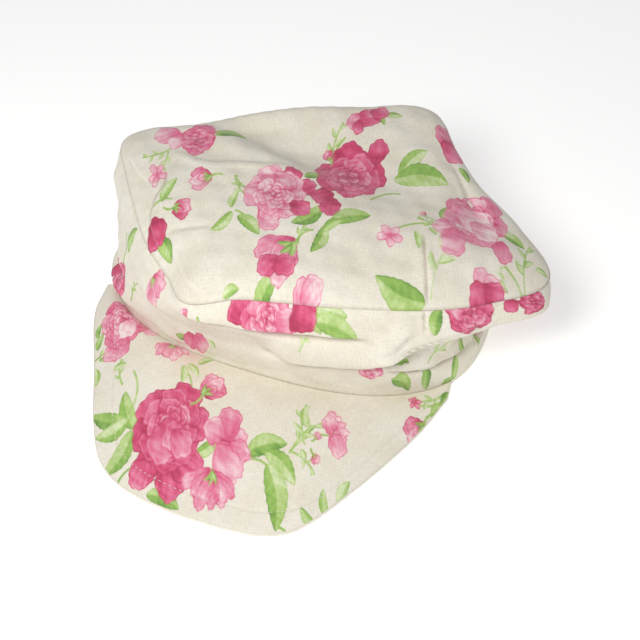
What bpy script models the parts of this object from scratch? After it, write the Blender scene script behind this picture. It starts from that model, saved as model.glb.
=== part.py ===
"""A soft cotton cap, its flat tip slouched over a tall side wall, with a deep trapezoid peak.

It lies on a table on its hem. The hollow for the head is open below. Z is up, the peak points to -Y.
"""
import math

import bmesh
import bpy
import numpy as np

# Driving sizes, in metres
TIP_REACH = 0.125
CROWN_HEIGHT = 0.075
HEM_HALF_WIDTH = 0.107
HEM_HALF_DEPTH = 0.071
HEM_SQUARENESS = 2.4
HEM_BAND = 0.009
PEAK_DEPTH = 0.097
PEAK_HALF_WIDTH = 0.106
PEAK_ARCH = 0.010
PEAK_ROOT_RISE = 0.005
CLOTH = 0.0018
PEAK_CLOTH = 0.0026
SEAM_GAP = 0.0003
SEAM_ROLL = 0.003
FOLD_SIZE = 0.010
DOME_RISE = 0.007
# The peak's ends lie this many degrees in front of the hem's widest line
PEAK_START = 18.0

# How finely the sheets are divided
SIDE_STEPS = 80
WALL_STEPS = 20
TIP_RINGS = 9
TIP_MIDDLE = 0.05
PEAK_ACROSS = 40
PEAK_OUT = 8

# The side wall, a row for each section around the hem's middle, anticlockwise from +X.
# rim and belly are shares of TIP_REACH, waist and low of the hem's own radius, heights of CROWN_HEIGHT.
SECTION_COLUMNS = ("angle", "rim", "rim_up", "belly", "belly_up", "waist", "waist_up", "low", "low_up")
SECTIONS = (
    (2, 1.10, 0.76, 1.06, 0.57, 0.95, 0.38, 0.96, 0.22),
    (16, 0.94, 0.82, 0.95, 0.60, 0.96, 0.38, 0.98, 0.22),
    (32, 0.79, 0.88, 0.83, 0.64, 1.00, 0.40, 1.02, 0.22),
    (50, 0.77, 0.94, 0.82, 0.66, 1.06, 0.40, 1.03, 0.22),
    (69, 0.85, 0.96, 0.87, 0.68, 1.16, 0.40, 1.05, 0.22),
    (88, 0.70, 0.96, 0.74, 0.66, 1.14, 0.40, 1.05, 0.22),
    (110, 0.64, 0.96, 0.70, 0.66, 1.08, 0.40, 1.04, 0.22),
    (135, 0.65, 0.94, 0.72, 0.64, 1.02, 0.40, 1.02, 0.22),
    (154, 0.73, 0.91, 0.81, 0.62, 1.02, 0.40, 1.01, 0.22),
    (170, 0.93, 0.87, 0.98, 0.60, 1.03, 0.40, 1.02, 0.22),
    (185, 0.81, 0.85, 0.87, 0.54, 0.98, 0.36, 1.02, 0.20),
    (199, 0.725, 0.83, 0.78, 0.52, 0.96, 0.35, 1.02, 0.17),
    (217, 0.68, 0.79, 0.74, 0.52, 0.99, 0.34, 1.01, 0.17),
    (236, 0.665, 0.77, 0.70, 0.56, 1.02, 0.34, 1.01, 0.17),
    (251, 0.715, 0.80, 0.695, 0.66, 1.05, 0.42, 1.01, 0.18),
    (268, 0.63, 0.89, 0.645, 0.66, 1.04, 0.44, 1.01, 0.20),
    (285, 0.605, 0.90, 0.62, 0.63, 1.02, 0.44, 1.01, 0.24),
    (300, 0.63, 0.90, 0.64, 0.62, 1.02, 0.40, 1.01, 0.22),
    (316, 0.685, 0.88, 0.725, 0.60, 1.01, 0.40, 1.01, 0.23),
    (332, 0.80, 0.85, 0.81, 0.63, 1.00, 0.44, 1.00, 0.25),
    (347, 0.95, 0.81, 0.92, 0.60, 0.97, 0.41, 0.98, 0.24),
)

# Where rim, belly, waist, low bulge, top of the hem band and hem lie along a section
LEVELS = (0.0, 0.26, 0.54, 0.74, 0.90, 1.0)

# Folds round the side wall, a row each: angles where it starts, is halfway and ends, its height at
# each as a share of CROWN_HEIGHT, and its rise, droop, undercut and width as shares of FOLD_SIZE.
FOLD_COLUMNS = ("start", "middle", "end", "start_up", "middle_up", "end_up",
                "rise", "droop", "undercut", "width")
FOLDS = (
    (240, 280, 322, 0.74, 0.74, 0.71, 0.36, 0.24, 0.42, 0.80),
    (274, 298, 332, 0.43, 0.45, 0.54, 0.38, 0.28, 0.44, 0.80),
    (308, 336, 372, 0.50, 0.65, 0.58, 0.42, 0.34, 0.50, 0.80),
    (182, 192, 208, 0.30, 0.31, 0.36, 0.14, 0.08, 0.26, 0.80),
)

# Bumps and hollows of the flat tip, a row each: the middle, the half-lengths along and across,
# as shares of TIP_REACH, the turn in degrees, and the rise as a share of CROWN_HEIGHT.
BUMP_COLUMNS = ("x", "y", "along", "across", "turn", "rise")
BUMPS = (
    (-0.10, 0.34, 0.48, 0.16, -8, -0.150),
    (-0.32, 0.20, 0.34, 0.08, -14, 0.055),
    (0.18, -0.22, 0.60, 0.26, 6, 0.070),
    (-0.62, 0.32, 0.16, 0.10, 50, 0.045),
    (0.62, 0.36, 0.30, 0.07, -62, -0.050),
    (0.80, -0.06, 0.22, 0.16, 10, 0.035),
)

# The peak's outline, a row for each share of the way round from its left end: across is a share of
# PEAK_HALF_WIDTH from the middle, out a share of PEAK_DEPTH from the hem's front.
EDGE_COLUMNS = ("way", "across", "out")
EDGE = (
    (0.00, -0.985, -0.370),
    (0.10, -0.945, -0.130),
    (0.24, -0.760, 0.260),
    (0.35, -0.600, 0.600),
    (0.42, -0.460, 0.820),
    (0.48, -0.300, 0.935),
    (0.56, -0.050, 0.985),
    (0.64, 0.230, 0.985),
    (0.70, 0.440, 0.950),
    (0.76, 0.590, 0.830),
    (0.84, 0.740, 0.500),
    (0.93, 0.895, 0.050),
    (1.00, 0.960, -0.270),
)


def column(table, names, name):
    """Read one named column of a table."""
    return np.array([row[names.index(name)] for row in table], float)


def bend(start, end, start_slope, end_slope, span, part):
    """One cubic stretch between two values, with given slopes at its ends."""
    return ((1 + 2 * part) * (1 - part) ** 2 * start
            + part * (1 - part) ** 2 * span * start_slope
            + part ** 2 * (3 - 2 * part) * end
            + part ** 2 * (part - 1) * span * end_slope)


def smooth_through(places, values, at, period=None):
    """Run one smooth curve through the values, on a closed loop where a period is given."""
    places, values, at = (np.asarray(part, float) for part in (places, values, at))
    if period:
        at = places[0] + np.mod(at - places[0], period)
        places = np.concatenate((places[-2:] - period, places, places[:3] + period))
        values = np.concatenate((values[-2:], values, values[:3]))
    else:
        places = np.concatenate(([2 * places[0] - places[1]], places, [2 * places[-1] - places[-2]]))
        values = np.concatenate(([2 * values[0] - values[1]], values, [2 * values[-1] - values[-2]]))
    slopes = np.zeros(len(places))
    slopes[1:-1] = (values[2:] - values[:-2]) / (places[2:] - places[:-2])
    last = len(places) - 3
    left = np.clip(np.searchsorted(places, at, side="right") - 1, 1, last)
    span = places[left + 1] - places[left]
    share = (at - places[left]) / span
    return bend(values[left], values[left + 1], slopes[left], slopes[left + 1], span, share)


def ease(value, start, end):
    """Rise smoothly from 0 at start to 1 at end."""
    share = np.clip((value - start) / (end - start), 0, 1)
    return share * share * (3 - 2 * share)


def hem_radius(degrees):
    """Distance from the hem's middle to its outer face: a squared ellipse."""
    turn = np.radians(degrees)
    wide = np.abs(np.cos(turn) / HEM_HALF_WIDTH) ** HEM_SQUARENESS
    deep = np.abs(np.sin(turn) / HEM_HALF_DEPTH) ** HEM_SQUARENESS
    return (wide + deep) ** (-1 / HEM_SQUARENESS)


def section_value(name, degrees):
    """Read a column of the side wall's sections at any angle."""
    return smooth_through(column(SECTIONS, SECTION_COLUMNS, "angle"),
                          column(SECTIONS, SECTION_COLUMNS, name), degrees, 360)


def rim(degrees):
    """Radius and height of the seam where the flat tip meets the side wall."""
    return section_value("rim", degrees) * TIP_REACH, section_value("rim_up", degrees) * CROWN_HEIGHT


def fold_shift(degrees, height):
    """How far the folds push a point of the side wall outwards, and how far they let it droop."""
    out = np.zeros_like(height)
    down = np.zeros_like(height)
    for row in FOLDS:
        fold = dict(zip(FOLD_COLUMNS, row))
        middle = 0.5 * (fold["start"] + fold["end"])
        angle = middle + np.mod(degrees - middle + 180, 360) - 180
        way = (angle - fold["start"]) / (fold["end"] - fold["start"])
        halfway = (fold["middle"] - fold["start"]) / (fold["end"] - fold["start"])
        crest = smooth_through((0, halfway, 1), (fold["start_up"], fold["middle_up"], fold["end_up"]),
                               np.clip(way, 0, 1)) * CROWN_HEIGHT
        fade = ease(way, 0, 0.25) * ease(way, 1, 0.75)
        below = (crest - height) / (fold["width"] * FOLD_SIZE)
        swell = np.exp(-(below / np.where(below < 0, 1.7, 0.6)) ** 2)
        hollow = np.exp(-((below - 1.2) / 0.7) ** 2)
        out += fade * (fold["rise"] * swell - fold["undercut"] * hollow) * FOLD_SIZE
        down += fade * fold["droop"] * FOLD_SIZE * np.exp(-(below / 0.9) ** 2)
    return out, down


def down_the_wall(values, share):
    """Run a smooth curve down one section, from the rim to an upright hem band."""
    ends = zip(LEVELS, LEVELS[1:], values, values[1:])
    chords = [(low - high) / (after - before) for before, after, high, low in ends]
    slopes = [chords[0]]
    for i in range(1, len(LEVELS) - 2):
        slopes.append((values[i + 1] - values[i - 1]) / (LEVELS[i + 1] - LEVELS[i - 1]))
    slopes += [chords[-1], chords[-1]]
    result = np.zeros_like(share)
    for i in range(len(LEVELS) - 1):
        span = LEVELS[i + 1] - LEVELS[i]
        part = np.clip((share - LEVELS[i]) / span, 0, 1)
        curve = bend(values[i], values[i + 1], slopes[i], slopes[i + 1], span, part)
        result = np.where(share >= LEVELS[i], curve, result)
    return result


def side_wall(degrees, share):
    """Points of the side wall's outer face: share runs from 0 at the rim to 1 at the hem."""
    degrees, share = np.broadcast_arrays(np.asarray(degrees, float), np.asarray(share, float))
    rim_radius, rim_height = rim(degrees)
    hem = hem_radius(degrees)
    seat = CLOTH + SEAM_GAP
    radii = (rim_radius,
             section_value("belly", degrees) * TIP_REACH,
             section_value("waist", degrees) * hem,
             section_value("low", degrees) * hem,
             hem, hem)
    heights = (rim_height - seat,
               section_value("belly_up", degrees) * CROWN_HEIGHT,
               section_value("waist_up", degrees) * CROWN_HEIGHT,
               section_value("low_up", degrees) * CROWN_HEIGHT,
               np.full_like(hem, HEM_BAND), np.zeros_like(hem))
    radius = down_the_wall(radii, share)
    height = down_the_wall(heights, share)
    out, down = fold_shift(degrees, height)
    held = ease(share, 0, 0.10) * ease(share, 0.90, 0.76)
    radius = radius + held * out
    height = height - held * down
    turn = np.radians(degrees)
    return np.stack((radius * np.cos(turn), radius * np.sin(turn), height), -1)


def tip_surface(degrees, share):
    """Points of the flat tip's outer face: share runs from 0 at the middle to 1 at the rim."""
    degrees, share = np.broadcast_arrays(np.asarray(degrees, float), np.asarray(share, float))
    rim_radius, rim_height = rim(degrees)
    turn = np.radians(degrees)
    x = share * rim_radius * np.cos(turn)
    y = share * rim_radius * np.sin(turn)
    around = np.arange(0, 360, 10)
    level = float(np.mean(rim(around)[1]))
    height = level + (rim_height - level) * share ** 3
    height = height + DOME_RISE * (1 - share ** 6) + SEAM_ROLL * (1 - share ** 24)
    for row in BUMPS:
        bump = dict(zip(BUMP_COLUMNS, row))
        aim = math.radians(bump["turn"])
        dx = x / TIP_REACH - bump["x"]
        dy = y / TIP_REACH - bump["y"]
        along = (dx * math.cos(aim) + dy * math.sin(aim)) / bump["along"]
        across = (dy * math.cos(aim) - dx * math.sin(aim)) / bump["across"]
        fade = ease(share, 1.0, 0.80)
        height = height + fade * bump["rise"] * CROWN_HEIGHT * np.exp(-along ** 2 - across ** 2)
    return np.stack((x, y, height), -1)


def peak_surface(way, share):
    """Points of the peak's upper face: way runs along the hem, share from the hem to the edge."""
    way, share = np.broadcast_arrays(np.asarray(way, float), np.asarray(share, float))
    end_left = 180 + PEAK_START
    end_right = 360 - PEAK_START
    degrees = end_left + way * (end_right - end_left)
    root = hem_radius(degrees) + SEAM_GAP
    root_x = root * np.cos(np.radians(degrees))
    root_y = root * np.sin(np.radians(degrees))
    places = column(EDGE, EDGE_COLUMNS, "way")
    edge_x = smooth_through(places, column(EDGE, EDGE_COLUMNS, "across"), way) * PEAK_HALF_WIDTH
    edge_y = -HEM_HALF_DEPTH - smooth_through(places, column(EDGE, EDGE_COLUMNS, "out"), way) * PEAK_DEPTH
    x = root_x + (edge_x - root_x) * share
    y = root_y + (edge_y - root_y) * share
    middle = np.clip(1 - (2 * way - 1) ** 2, 0, 1)
    rise = PEAK_ROOT_RISE * (1 - share) ** 2 * middle
    arch = PEAK_ARCH * middle ** 0.7 * np.sin(math.pi * share ** 0.8) ** 1.2
    return np.stack((x, y, PEAK_CLOTH + rise + arch), -1)


def sheet(name, rows, closed, capped, thickness, material, collection):
    """Loft faces through rows of points, the outer face up and out, and thicken it inwards."""
    mesh = bpy.data.meshes.new(name)
    body = bmesh.new()
    rings = [[body.verts.new(point) for point in row] for row in rows]
    for upper, lower in zip(rings, rings[1:]):
        count = len(upper)
        for i in range(count if closed else count - 1):
            j = (i + 1) % count
            body.faces.new((upper[i], lower[i], lower[j], upper[j]))
    if capped:
        body.faces.new(rings[0])
    body.normal_update()
    body.to_mesh(mesh)
    body.free()
    mesh.shade_smooth()
    mesh.materials.append(material)
    piece = bpy.data.objects.new(name, mesh)
    collection.objects.link(piece)
    wall = piece.modifiers.new("Cloth", "SOLIDIFY")
    wall.thickness = thickness
    wall.offset = -1
    return piece


def cotton(name, colour):
    """Soft printed cotton in its ground colour."""
    material = bpy.data.materials.new(name)
    material.use_nodes = True
    shader = material.node_tree.nodes["Principled BSDF"]
    shader.inputs["Base Color"].default_value = (*colour, 1)
    shader.inputs["Roughness"].default_value = 0.9
    shader.inputs["Metallic"].default_value = 0
    return material


def build():
    for item in list(bpy.data.objects):
        bpy.data.objects.remove(item, do_unlink=True)
    cap = bpy.data.collections.new("antique_cap")
    bpy.context.scene.collection.children.link(cap)

    around = np.linspace(0, 360, SIDE_STEPS, endpoint=False)
    side_rows = np.array([side_wall(around, share) for share in np.linspace(0, 1, WALL_STEPS + 1)])
    # The rings of the tip lie closer together towards the rim, where it rolls over
    spread = 1 - (1 - TIP_MIDDLE) * np.linspace(1, 0, TIP_RINGS + 1) ** 1.5
    tip_rows = np.array([tip_surface(around, share) for share in spread])
    ways = np.linspace(0, 1, PEAK_ACROSS + 1)
    peak_rows = np.array([peak_surface(ways, share) for share in np.linspace(0, 1, PEAK_OUT + 1)])

    # The origin lies under the middle of the whole cap
    everything = np.concatenate([rows.reshape(-1, 3) for rows in (side_rows, tip_rows, peak_rows)])
    middle = 0.5 * (everything.min(0) + everything.max(0))
    middle[2] = 0
    tip_cotton = cotton("tip_cotton", (0.80, 0.74, 0.63))
    side_cotton = cotton("side_cotton", (0.76, 0.70, 0.59))
    peak_cotton = cotton("peak_cotton", (0.80, 0.75, 0.66))
    sheet("crown_top", tip_rows - middle, True, True, CLOTH, tip_cotton, cap)
    sheet("crown_side", side_rows - middle, True, False, CLOTH, side_cotton, cap)
    sheet("peak", peak_rows - middle, False, False, PEAK_CLOTH, peak_cotton, cap)


build()
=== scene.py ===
"""The looks of a soft printed cotton cap: fine cloth forms, a rose chintz print, seams and stitches."""
import math

import bpy
import numpy as np
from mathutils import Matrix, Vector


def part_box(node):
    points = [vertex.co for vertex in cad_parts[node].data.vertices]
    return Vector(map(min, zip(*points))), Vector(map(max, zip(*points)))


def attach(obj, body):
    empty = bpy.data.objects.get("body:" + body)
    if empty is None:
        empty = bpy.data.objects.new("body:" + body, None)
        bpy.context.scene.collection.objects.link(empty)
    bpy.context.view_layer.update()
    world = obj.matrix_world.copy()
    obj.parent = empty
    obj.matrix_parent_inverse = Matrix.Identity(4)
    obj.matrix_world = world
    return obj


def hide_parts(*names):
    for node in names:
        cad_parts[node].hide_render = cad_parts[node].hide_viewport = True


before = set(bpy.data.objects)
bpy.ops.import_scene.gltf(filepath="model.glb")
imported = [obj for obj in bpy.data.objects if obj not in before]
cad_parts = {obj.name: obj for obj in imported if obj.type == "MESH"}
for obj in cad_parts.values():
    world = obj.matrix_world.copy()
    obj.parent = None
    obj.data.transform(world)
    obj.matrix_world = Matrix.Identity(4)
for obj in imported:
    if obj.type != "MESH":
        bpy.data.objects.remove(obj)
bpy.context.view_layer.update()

MM = 0.001

# The cap's sizes, as in the CAD model, in metres
TIP_REACH = 0.125
CROWN_HEIGHT = 0.075
HEM_HALF_WIDTH = 0.107
HEM_HALF_DEPTH = 0.071
HEM_SQUARENESS = 2.4
HEM_BAND = 0.009
PEAK_DEPTH = 0.097
PEAK_HALF_WIDTH = 0.106
PEAK_ARCH = 0.010
PEAK_ROOT_RISE = 0.005
CLOTH = 0.0018
PEAK_CLOTH = 0.0026
SEAM_ROLL = 0.003
FOLD_SIZE = 0.010
DOME_RISE = 0.007
PEAK_START = 18.0

# Seams and topstitching, in metres
RIM_GROOVE = 0.0008
SEAM_PUCKER = 0.00012
STITCH_INSET = 0.0115
STITCH_STEP = 0.0030
STITCH_LENGTH = 0.0019
STITCH_THICK = 0.00016
STITCH_SIDES = 6
# Each ring of a stitch: its place along, its thickness, and its lift in thicknesses
STITCH_RINGS = ((0.0, 0.4, -1.2), (0.12, 0.9, -0.1), (0.5, 1.0, 0.5), (0.88, 0.9, -0.1), (1.0, 0.4, -1.2))

# The camera, in degrees round to the cap's left and up, and in metres from the hem's middle, and the
# photograph's frame, in pixels
VIEW_TURN = 22.0
VIEW_RISE = 45.0
VIEW_DISTANCE = 0.80
VIEW_LENS = 85.0
VIEW_SENSOR = 36.0
VIEW_TARGET = np.array([0.028, -0.042, 0.030])
PHOTO_SIZE = 640

# How finely each sheet is divided
SIDE_AROUND = 760
SIDE_DOWN = 106
SIDE_INSIDE = 14
TIP_ACROSS = 290
TIP_INSIDE = 8
PEAK_ACROSS = 400
PEAK_OUT = 170
PEAK_UNDER = 14

SECTION_COLUMNS = ("angle", "rim", "rim_up", "belly", "belly_up", "waist", "waist_up", "low", "low_up")
SECTIONS = (
    (2, 1.10, 0.76, 1.06, 0.57, 0.95, 0.38, 0.96, 0.22),
    (16, 0.94, 0.82, 0.95, 0.60, 0.96, 0.38, 0.98, 0.22),
    (32, 0.79, 0.88, 0.83, 0.64, 1.00, 0.40, 1.02, 0.22),
    (50, 0.77, 0.94, 0.82, 0.66, 1.06, 0.40, 1.03, 0.22),
    (69, 0.85, 0.96, 0.87, 0.68, 1.16, 0.40, 1.05, 0.22),
    (88, 0.70, 0.96, 0.74, 0.66, 1.14, 0.40, 1.05, 0.22),
    (110, 0.64, 0.96, 0.70, 0.66, 1.08, 0.40, 1.04, 0.22),
    (135, 0.65, 0.94, 0.72, 0.64, 1.02, 0.40, 1.02, 0.22),
    (154, 0.73, 0.91, 0.81, 0.62, 1.02, 0.40, 1.01, 0.22),
    (170, 0.93, 0.87, 0.98, 0.60, 1.03, 0.40, 1.02, 0.22),
    (185, 0.81, 0.85, 0.87, 0.54, 0.98, 0.36, 1.02, 0.20),
    (199, 0.725, 0.83, 0.78, 0.52, 0.96, 0.35, 1.02, 0.17),
    (217, 0.68, 0.79, 0.74, 0.52, 0.99, 0.34, 1.01, 0.17),
    (236, 0.665, 0.77, 0.70, 0.56, 1.02, 0.34, 1.01, 0.17),
    (251, 0.715, 0.80, 0.695, 0.66, 1.05, 0.42, 1.01, 0.18),
    (268, 0.63, 0.89, 0.645, 0.66, 1.04, 0.44, 1.01, 0.20),
    (285, 0.605, 0.90, 0.62, 0.63, 1.02, 0.44, 1.01, 0.24),
    (300, 0.63, 0.90, 0.64, 0.62, 1.02, 0.40, 1.01, 0.22),
    (316, 0.685, 0.88, 0.725, 0.60, 1.01, 0.40, 1.01, 0.23),
    (332, 0.80, 0.85, 0.81, 0.63, 1.00, 0.44, 1.00, 0.25),
    (347, 0.95, 0.81, 0.92, 0.60, 0.97, 0.41, 0.98, 0.24),
)
LEVELS = (0.0, 0.26, 0.54, 0.74, 0.90, 1.0)

# The CAD model's folds, drawn crisper, and the small creases that it leaves out
FOLD_COLUMNS = ("start", "middle", "end", "start_up", "middle_up", "end_up",
                "rise", "droop", "undercut", "width")
FOLDS = (
    (238, 280, 322, 0.75, 0.75, 0.71, 0.42, 0.36, 0.60, 0.60),
    (274, 298, 332, 0.43, 0.45, 0.54, 0.44, 0.46, 0.62, 0.58),
    (308, 336, 372, 0.50, 0.66, 0.58, 0.50, 0.50, 0.76, 0.58),
    (182, 192, 208, 0.30, 0.31, 0.36, 0.14, 0.10, 0.28, 0.60),
    (318, 334, 354, 0.38, 0.31, 0.25, 0.14, 0.10, 0.22, 0.36),
    (20, 48, 80, 0.50, 0.55, 0.48, 0.16, 0.10, 0.20, 0.70),
    (96, 125, 160, 0.46, 0.40, 0.50, 0.18, 0.12, 0.22, 0.70),
    (60, 90, 118, 0.30, 0.26, 0.32, 0.10, 0.05, 0.14, 0.50),
    (210, 222, 240, 0.52, 0.46, 0.50, 0.08, 0.03, 0.08, 0.60),
)

# Creases read from the photograph: the line in its pixels, the ridge along it in millimetres, its
# width in pixels, and how many millimetres higher the cloth lies on the right as one walks the line
TIP_CREASES = (
    (((165, 150), (182, 155), (197, 163), (215, 166), (240, 165), (264, 167), (300, 167)), 1.0, 4.0, 3.2),
    (((163, 262), (157, 244), (151, 226), (152, 212), (157, 197), (167, 182), (166, 163)), -1.0, 2.0, 2.6),
    (((148, 186), (136, 172), (127, 156)), -0.6, 2.0, 0.9),
    (((203, 295), (188, 281), (177, 257), (166, 240)), 0.8, 3.0, 1.6),
    (((166, 237), (176, 231), (190, 229), (214, 226)), -0.8, 3.0, 0.9),
    (((449, 159), (458, 175), (467, 198), (476, 214)), -1.0, 3.0, 0.9),
    (((428, 316), (427, 280), (425, 250), (424, 226)), -1.4, 1.7, 1.6),
)
SIDE_CREASES = (
    (((425, 338), (425, 322), (424, 300)), -1.1, 1.7, 1.1),
    (((421, 333), (409, 336), (402, 343), (393, 352), (378, 357)), -0.4, 2.0, 1.8),
    (((386, 364), (398, 359), (410, 353), (424, 348), (440, 343), (455, 340), (468, 334), (482, 327),
      (500, 320)), -0.6, 3.6, -1.8),
)

BUMP_COLUMNS = ("x", "y", "along", "across", "turn", "rise")
BUMPS = (
    (-0.10, 0.34, 0.48, 0.16, -8, -0.150),
    (-0.32, 0.20, 0.34, 0.08, -14, 0.055),
    (0.18, -0.22, 0.60, 0.26, 6, 0.070),
    (-0.62, 0.32, 0.16, 0.10, 50, 0.045),
    (0.62, 0.36, 0.30, 0.07, -62, -0.050),
    (0.80, -0.06, 0.22, 0.16, 10, 0.035),
)
EDGE_COLUMNS = ("way", "across", "out")
EDGE = (
    (0.00, -0.985, -0.370),
    (0.10, -0.945, -0.130),
    (0.24, -0.760, 0.260),
    (0.35, -0.600, 0.600),
    (0.42, -0.460, 0.820),
    (0.48, -0.300, 0.935),
    (0.56, -0.050, 0.985),
    (0.64, 0.230, 0.985),
    (0.70, 0.440, 0.950),
    (0.76, 0.590, 0.830),
    (0.84, 0.740, 0.500),
    (0.93, 0.895, 0.050),
    (1.00, 0.960, -0.270),
)


def column(table, names, name):
    return np.array([row[names.index(name)] for row in table], float)


def bend(start, end, start_slope, end_slope, span, part):
    """One cubic stretch between two values, with given slopes at its ends."""
    return ((1 + 2 * part) * (1 - part) ** 2 * start
            + part * (1 - part) ** 2 * span * start_slope
            + part ** 2 * (3 - 2 * part) * end
            + part ** 2 * (part - 1) * span * end_slope)


def smooth_through(places, values, at, period=None):
    """Run one smooth curve through the values, on a closed loop where a period is given."""
    places, values, at = (np.asarray(part, float) for part in (places, values, at))
    if period:
        at = places[0] + np.mod(at - places[0], period)
        places = np.concatenate((places[-2:] - period, places, places[:3] + period))
        values = np.concatenate((values[-2:], values, values[:3]))
    else:
        places = np.concatenate(([2 * places[0] - places[1]], places, [2 * places[-1] - places[-2]]))
        values = np.concatenate(([2 * values[0] - values[1]], values, [2 * values[-1] - values[-2]]))
    slopes = np.zeros(len(places))
    slopes[1:-1] = (values[2:] - values[:-2]) / (places[2:] - places[:-2])
    last = len(places) - 3
    left = np.clip(np.searchsorted(places, at, side="right") - 1, 1, last)
    span = places[left + 1] - places[left]
    share = (at - places[left]) / span
    return bend(values[left], values[left + 1], slopes[left], slopes[left + 1], span, share)


def ease(value, start, end):
    """Rise smoothly from 0 at start to 1 at end."""
    share = np.clip((value - start) / (end - start), 0, 1)
    return share * share * (3 - 2 * share)


def ripple(points, waves, size, seed):
    """Soft uneven swelling: a sum of sine waves about size long, in directions of their own."""
    draw = np.random.default_rng(seed)
    total = np.zeros(points.shape[:-1])
    for _ in range(waves):
        aim = draw.normal(size=points.shape[-1])
        aim /= np.linalg.norm(aim)
        length = size * draw.uniform(0.7, 1.5)
        total += np.sin(points @ aim * (2 * math.pi / length) + draw.uniform(0, 2 * math.pi))
    return total / math.sqrt(waves)


def hem_radius(degrees):
    turn = np.radians(degrees)
    wide = np.abs(np.cos(turn) / HEM_HALF_WIDTH) ** HEM_SQUARENESS
    deep = np.abs(np.sin(turn) / HEM_HALF_DEPTH) ** HEM_SQUARENESS
    return (wide + deep) ** (-1 / HEM_SQUARENESS)


def section_value(name, degrees):
    return smooth_through(column(SECTIONS, SECTION_COLUMNS, "angle"),
                          column(SECTIONS, SECTION_COLUMNS, name), degrees, 360)


def rim(degrees):
    """Radius and height of the seam where the flat tip meets the side wall."""
    return section_value("rim", degrees) * TIP_REACH, section_value("rim_up", degrees) * CROWN_HEIGHT


def fold_shift(degrees, height):
    """How far the folds push a point of the side wall outwards, and how far they let it droop."""
    out = np.zeros_like(height)
    down = np.zeros_like(height)
    for row in FOLDS:
        fold = dict(zip(FOLD_COLUMNS, row))
        middle = 0.5 * (fold["start"] + fold["end"])
        angle = middle + np.mod(degrees - middle + 180, 360) - 180
        way = (angle - fold["start"]) / (fold["end"] - fold["start"])
        halfway = (fold["middle"] - fold["start"]) / (fold["end"] - fold["start"])
        crest = smooth_through((0, halfway, 1), (fold["start_up"], fold["middle_up"], fold["end_up"]),
                               np.clip(way, 0, 1)) * CROWN_HEIGHT
        fade = ease(way, 0, 0.25) * ease(way, 1, 0.75)
        below = (crest - height) / (fold["width"] * FOLD_SIZE)
        swell = np.exp(-(below / np.where(below < 0, 1.8, 0.45)) ** 2)
        hollow = np.exp(-((below - 0.95) / np.where(below < 0.95, 0.50, 0.55)) ** 2)
        out += fade * (fold["rise"] * swell - fold["undercut"] * hollow) * FOLD_SIZE
        down += fade * fold["droop"] * FOLD_SIZE * np.exp(-(below / 0.9) ** 2)
    return out, down


def down_the_wall(values, share):
    """Run a smooth curve down one section, from the rim to an upright hem band."""
    ends = zip(LEVELS, LEVELS[1:], values, values[1:])
    chords = [(low - high) / (after - before) for before, after, high, low in ends]
    slopes = [chords[0]]
    for i in range(1, len(LEVELS) - 2):
        slopes.append((values[i + 1] - values[i - 1]) / (LEVELS[i + 1] - LEVELS[i - 1]))
    slopes += [chords[-1], chords[-1]]
    result = np.zeros_like(share)
    for i in range(len(LEVELS) - 1):
        span = LEVELS[i + 1] - LEVELS[i]
        part = np.clip((share - LEVELS[i]) / span, 0, 1)
        curve = bend(values[i], values[i + 1], slopes[i], slopes[i + 1], span, part)
        result = np.where(share >= LEVELS[i], curve, result)
    return result


def side_wall(degrees, share, seat=0.0):
    """Points of the side wall's outer face: share runs from 0 at the rim to 1 at the hem."""
    degrees, share = np.broadcast_arrays(np.asarray(degrees, float), np.asarray(share, float))
    rim_radius, rim_height = rim(degrees)
    hem = hem_radius(degrees)
    radii = (rim_radius,
             section_value("belly", degrees) * TIP_REACH,
             section_value("waist", degrees) * hem,
             section_value("low", degrees) * hem,
             hem, hem)
    heights = (rim_height - seat,
               section_value("belly_up", degrees) * CROWN_HEIGHT,
               section_value("waist_up", degrees) * CROWN_HEIGHT,
               section_value("low_up", degrees) * CROWN_HEIGHT,
               np.full_like(hem, HEM_BAND), np.zeros_like(hem))
    radius = down_the_wall(radii, share)
    height = down_the_wall(heights, share)
    out, down = fold_shift(degrees, height)
    held = ease(share, 0, 0.10) * ease(share, 0.90, 0.76)
    radius = radius + held * out
    height = height - held * down
    turn = np.radians(degrees)
    points = np.stack((radius * np.cos(turn), radius * np.sin(turn), height), -1)
    soft = ease(share, 0, 0.08) * ease(share, 0.93, 0.80)
    swell = 0.9 * MM * ripple(points, 6, 0.040, 11) + 0.35 * MM * ripple(points, 7, 0.014, 12)
    pucker = SEAM_PUCKER * np.sin(turn * 61 + 3 * np.sin(turn * 5))
    radius = radius + soft * swell + pucker * ease(share, 0.10, 0.01) * ease(share, 0, 0.02)
    radius = radius - RIM_GROOVE * ease(share, 0.022, 0)
    return np.stack((radius * np.cos(turn), radius * np.sin(turn), height), -1)


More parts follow.
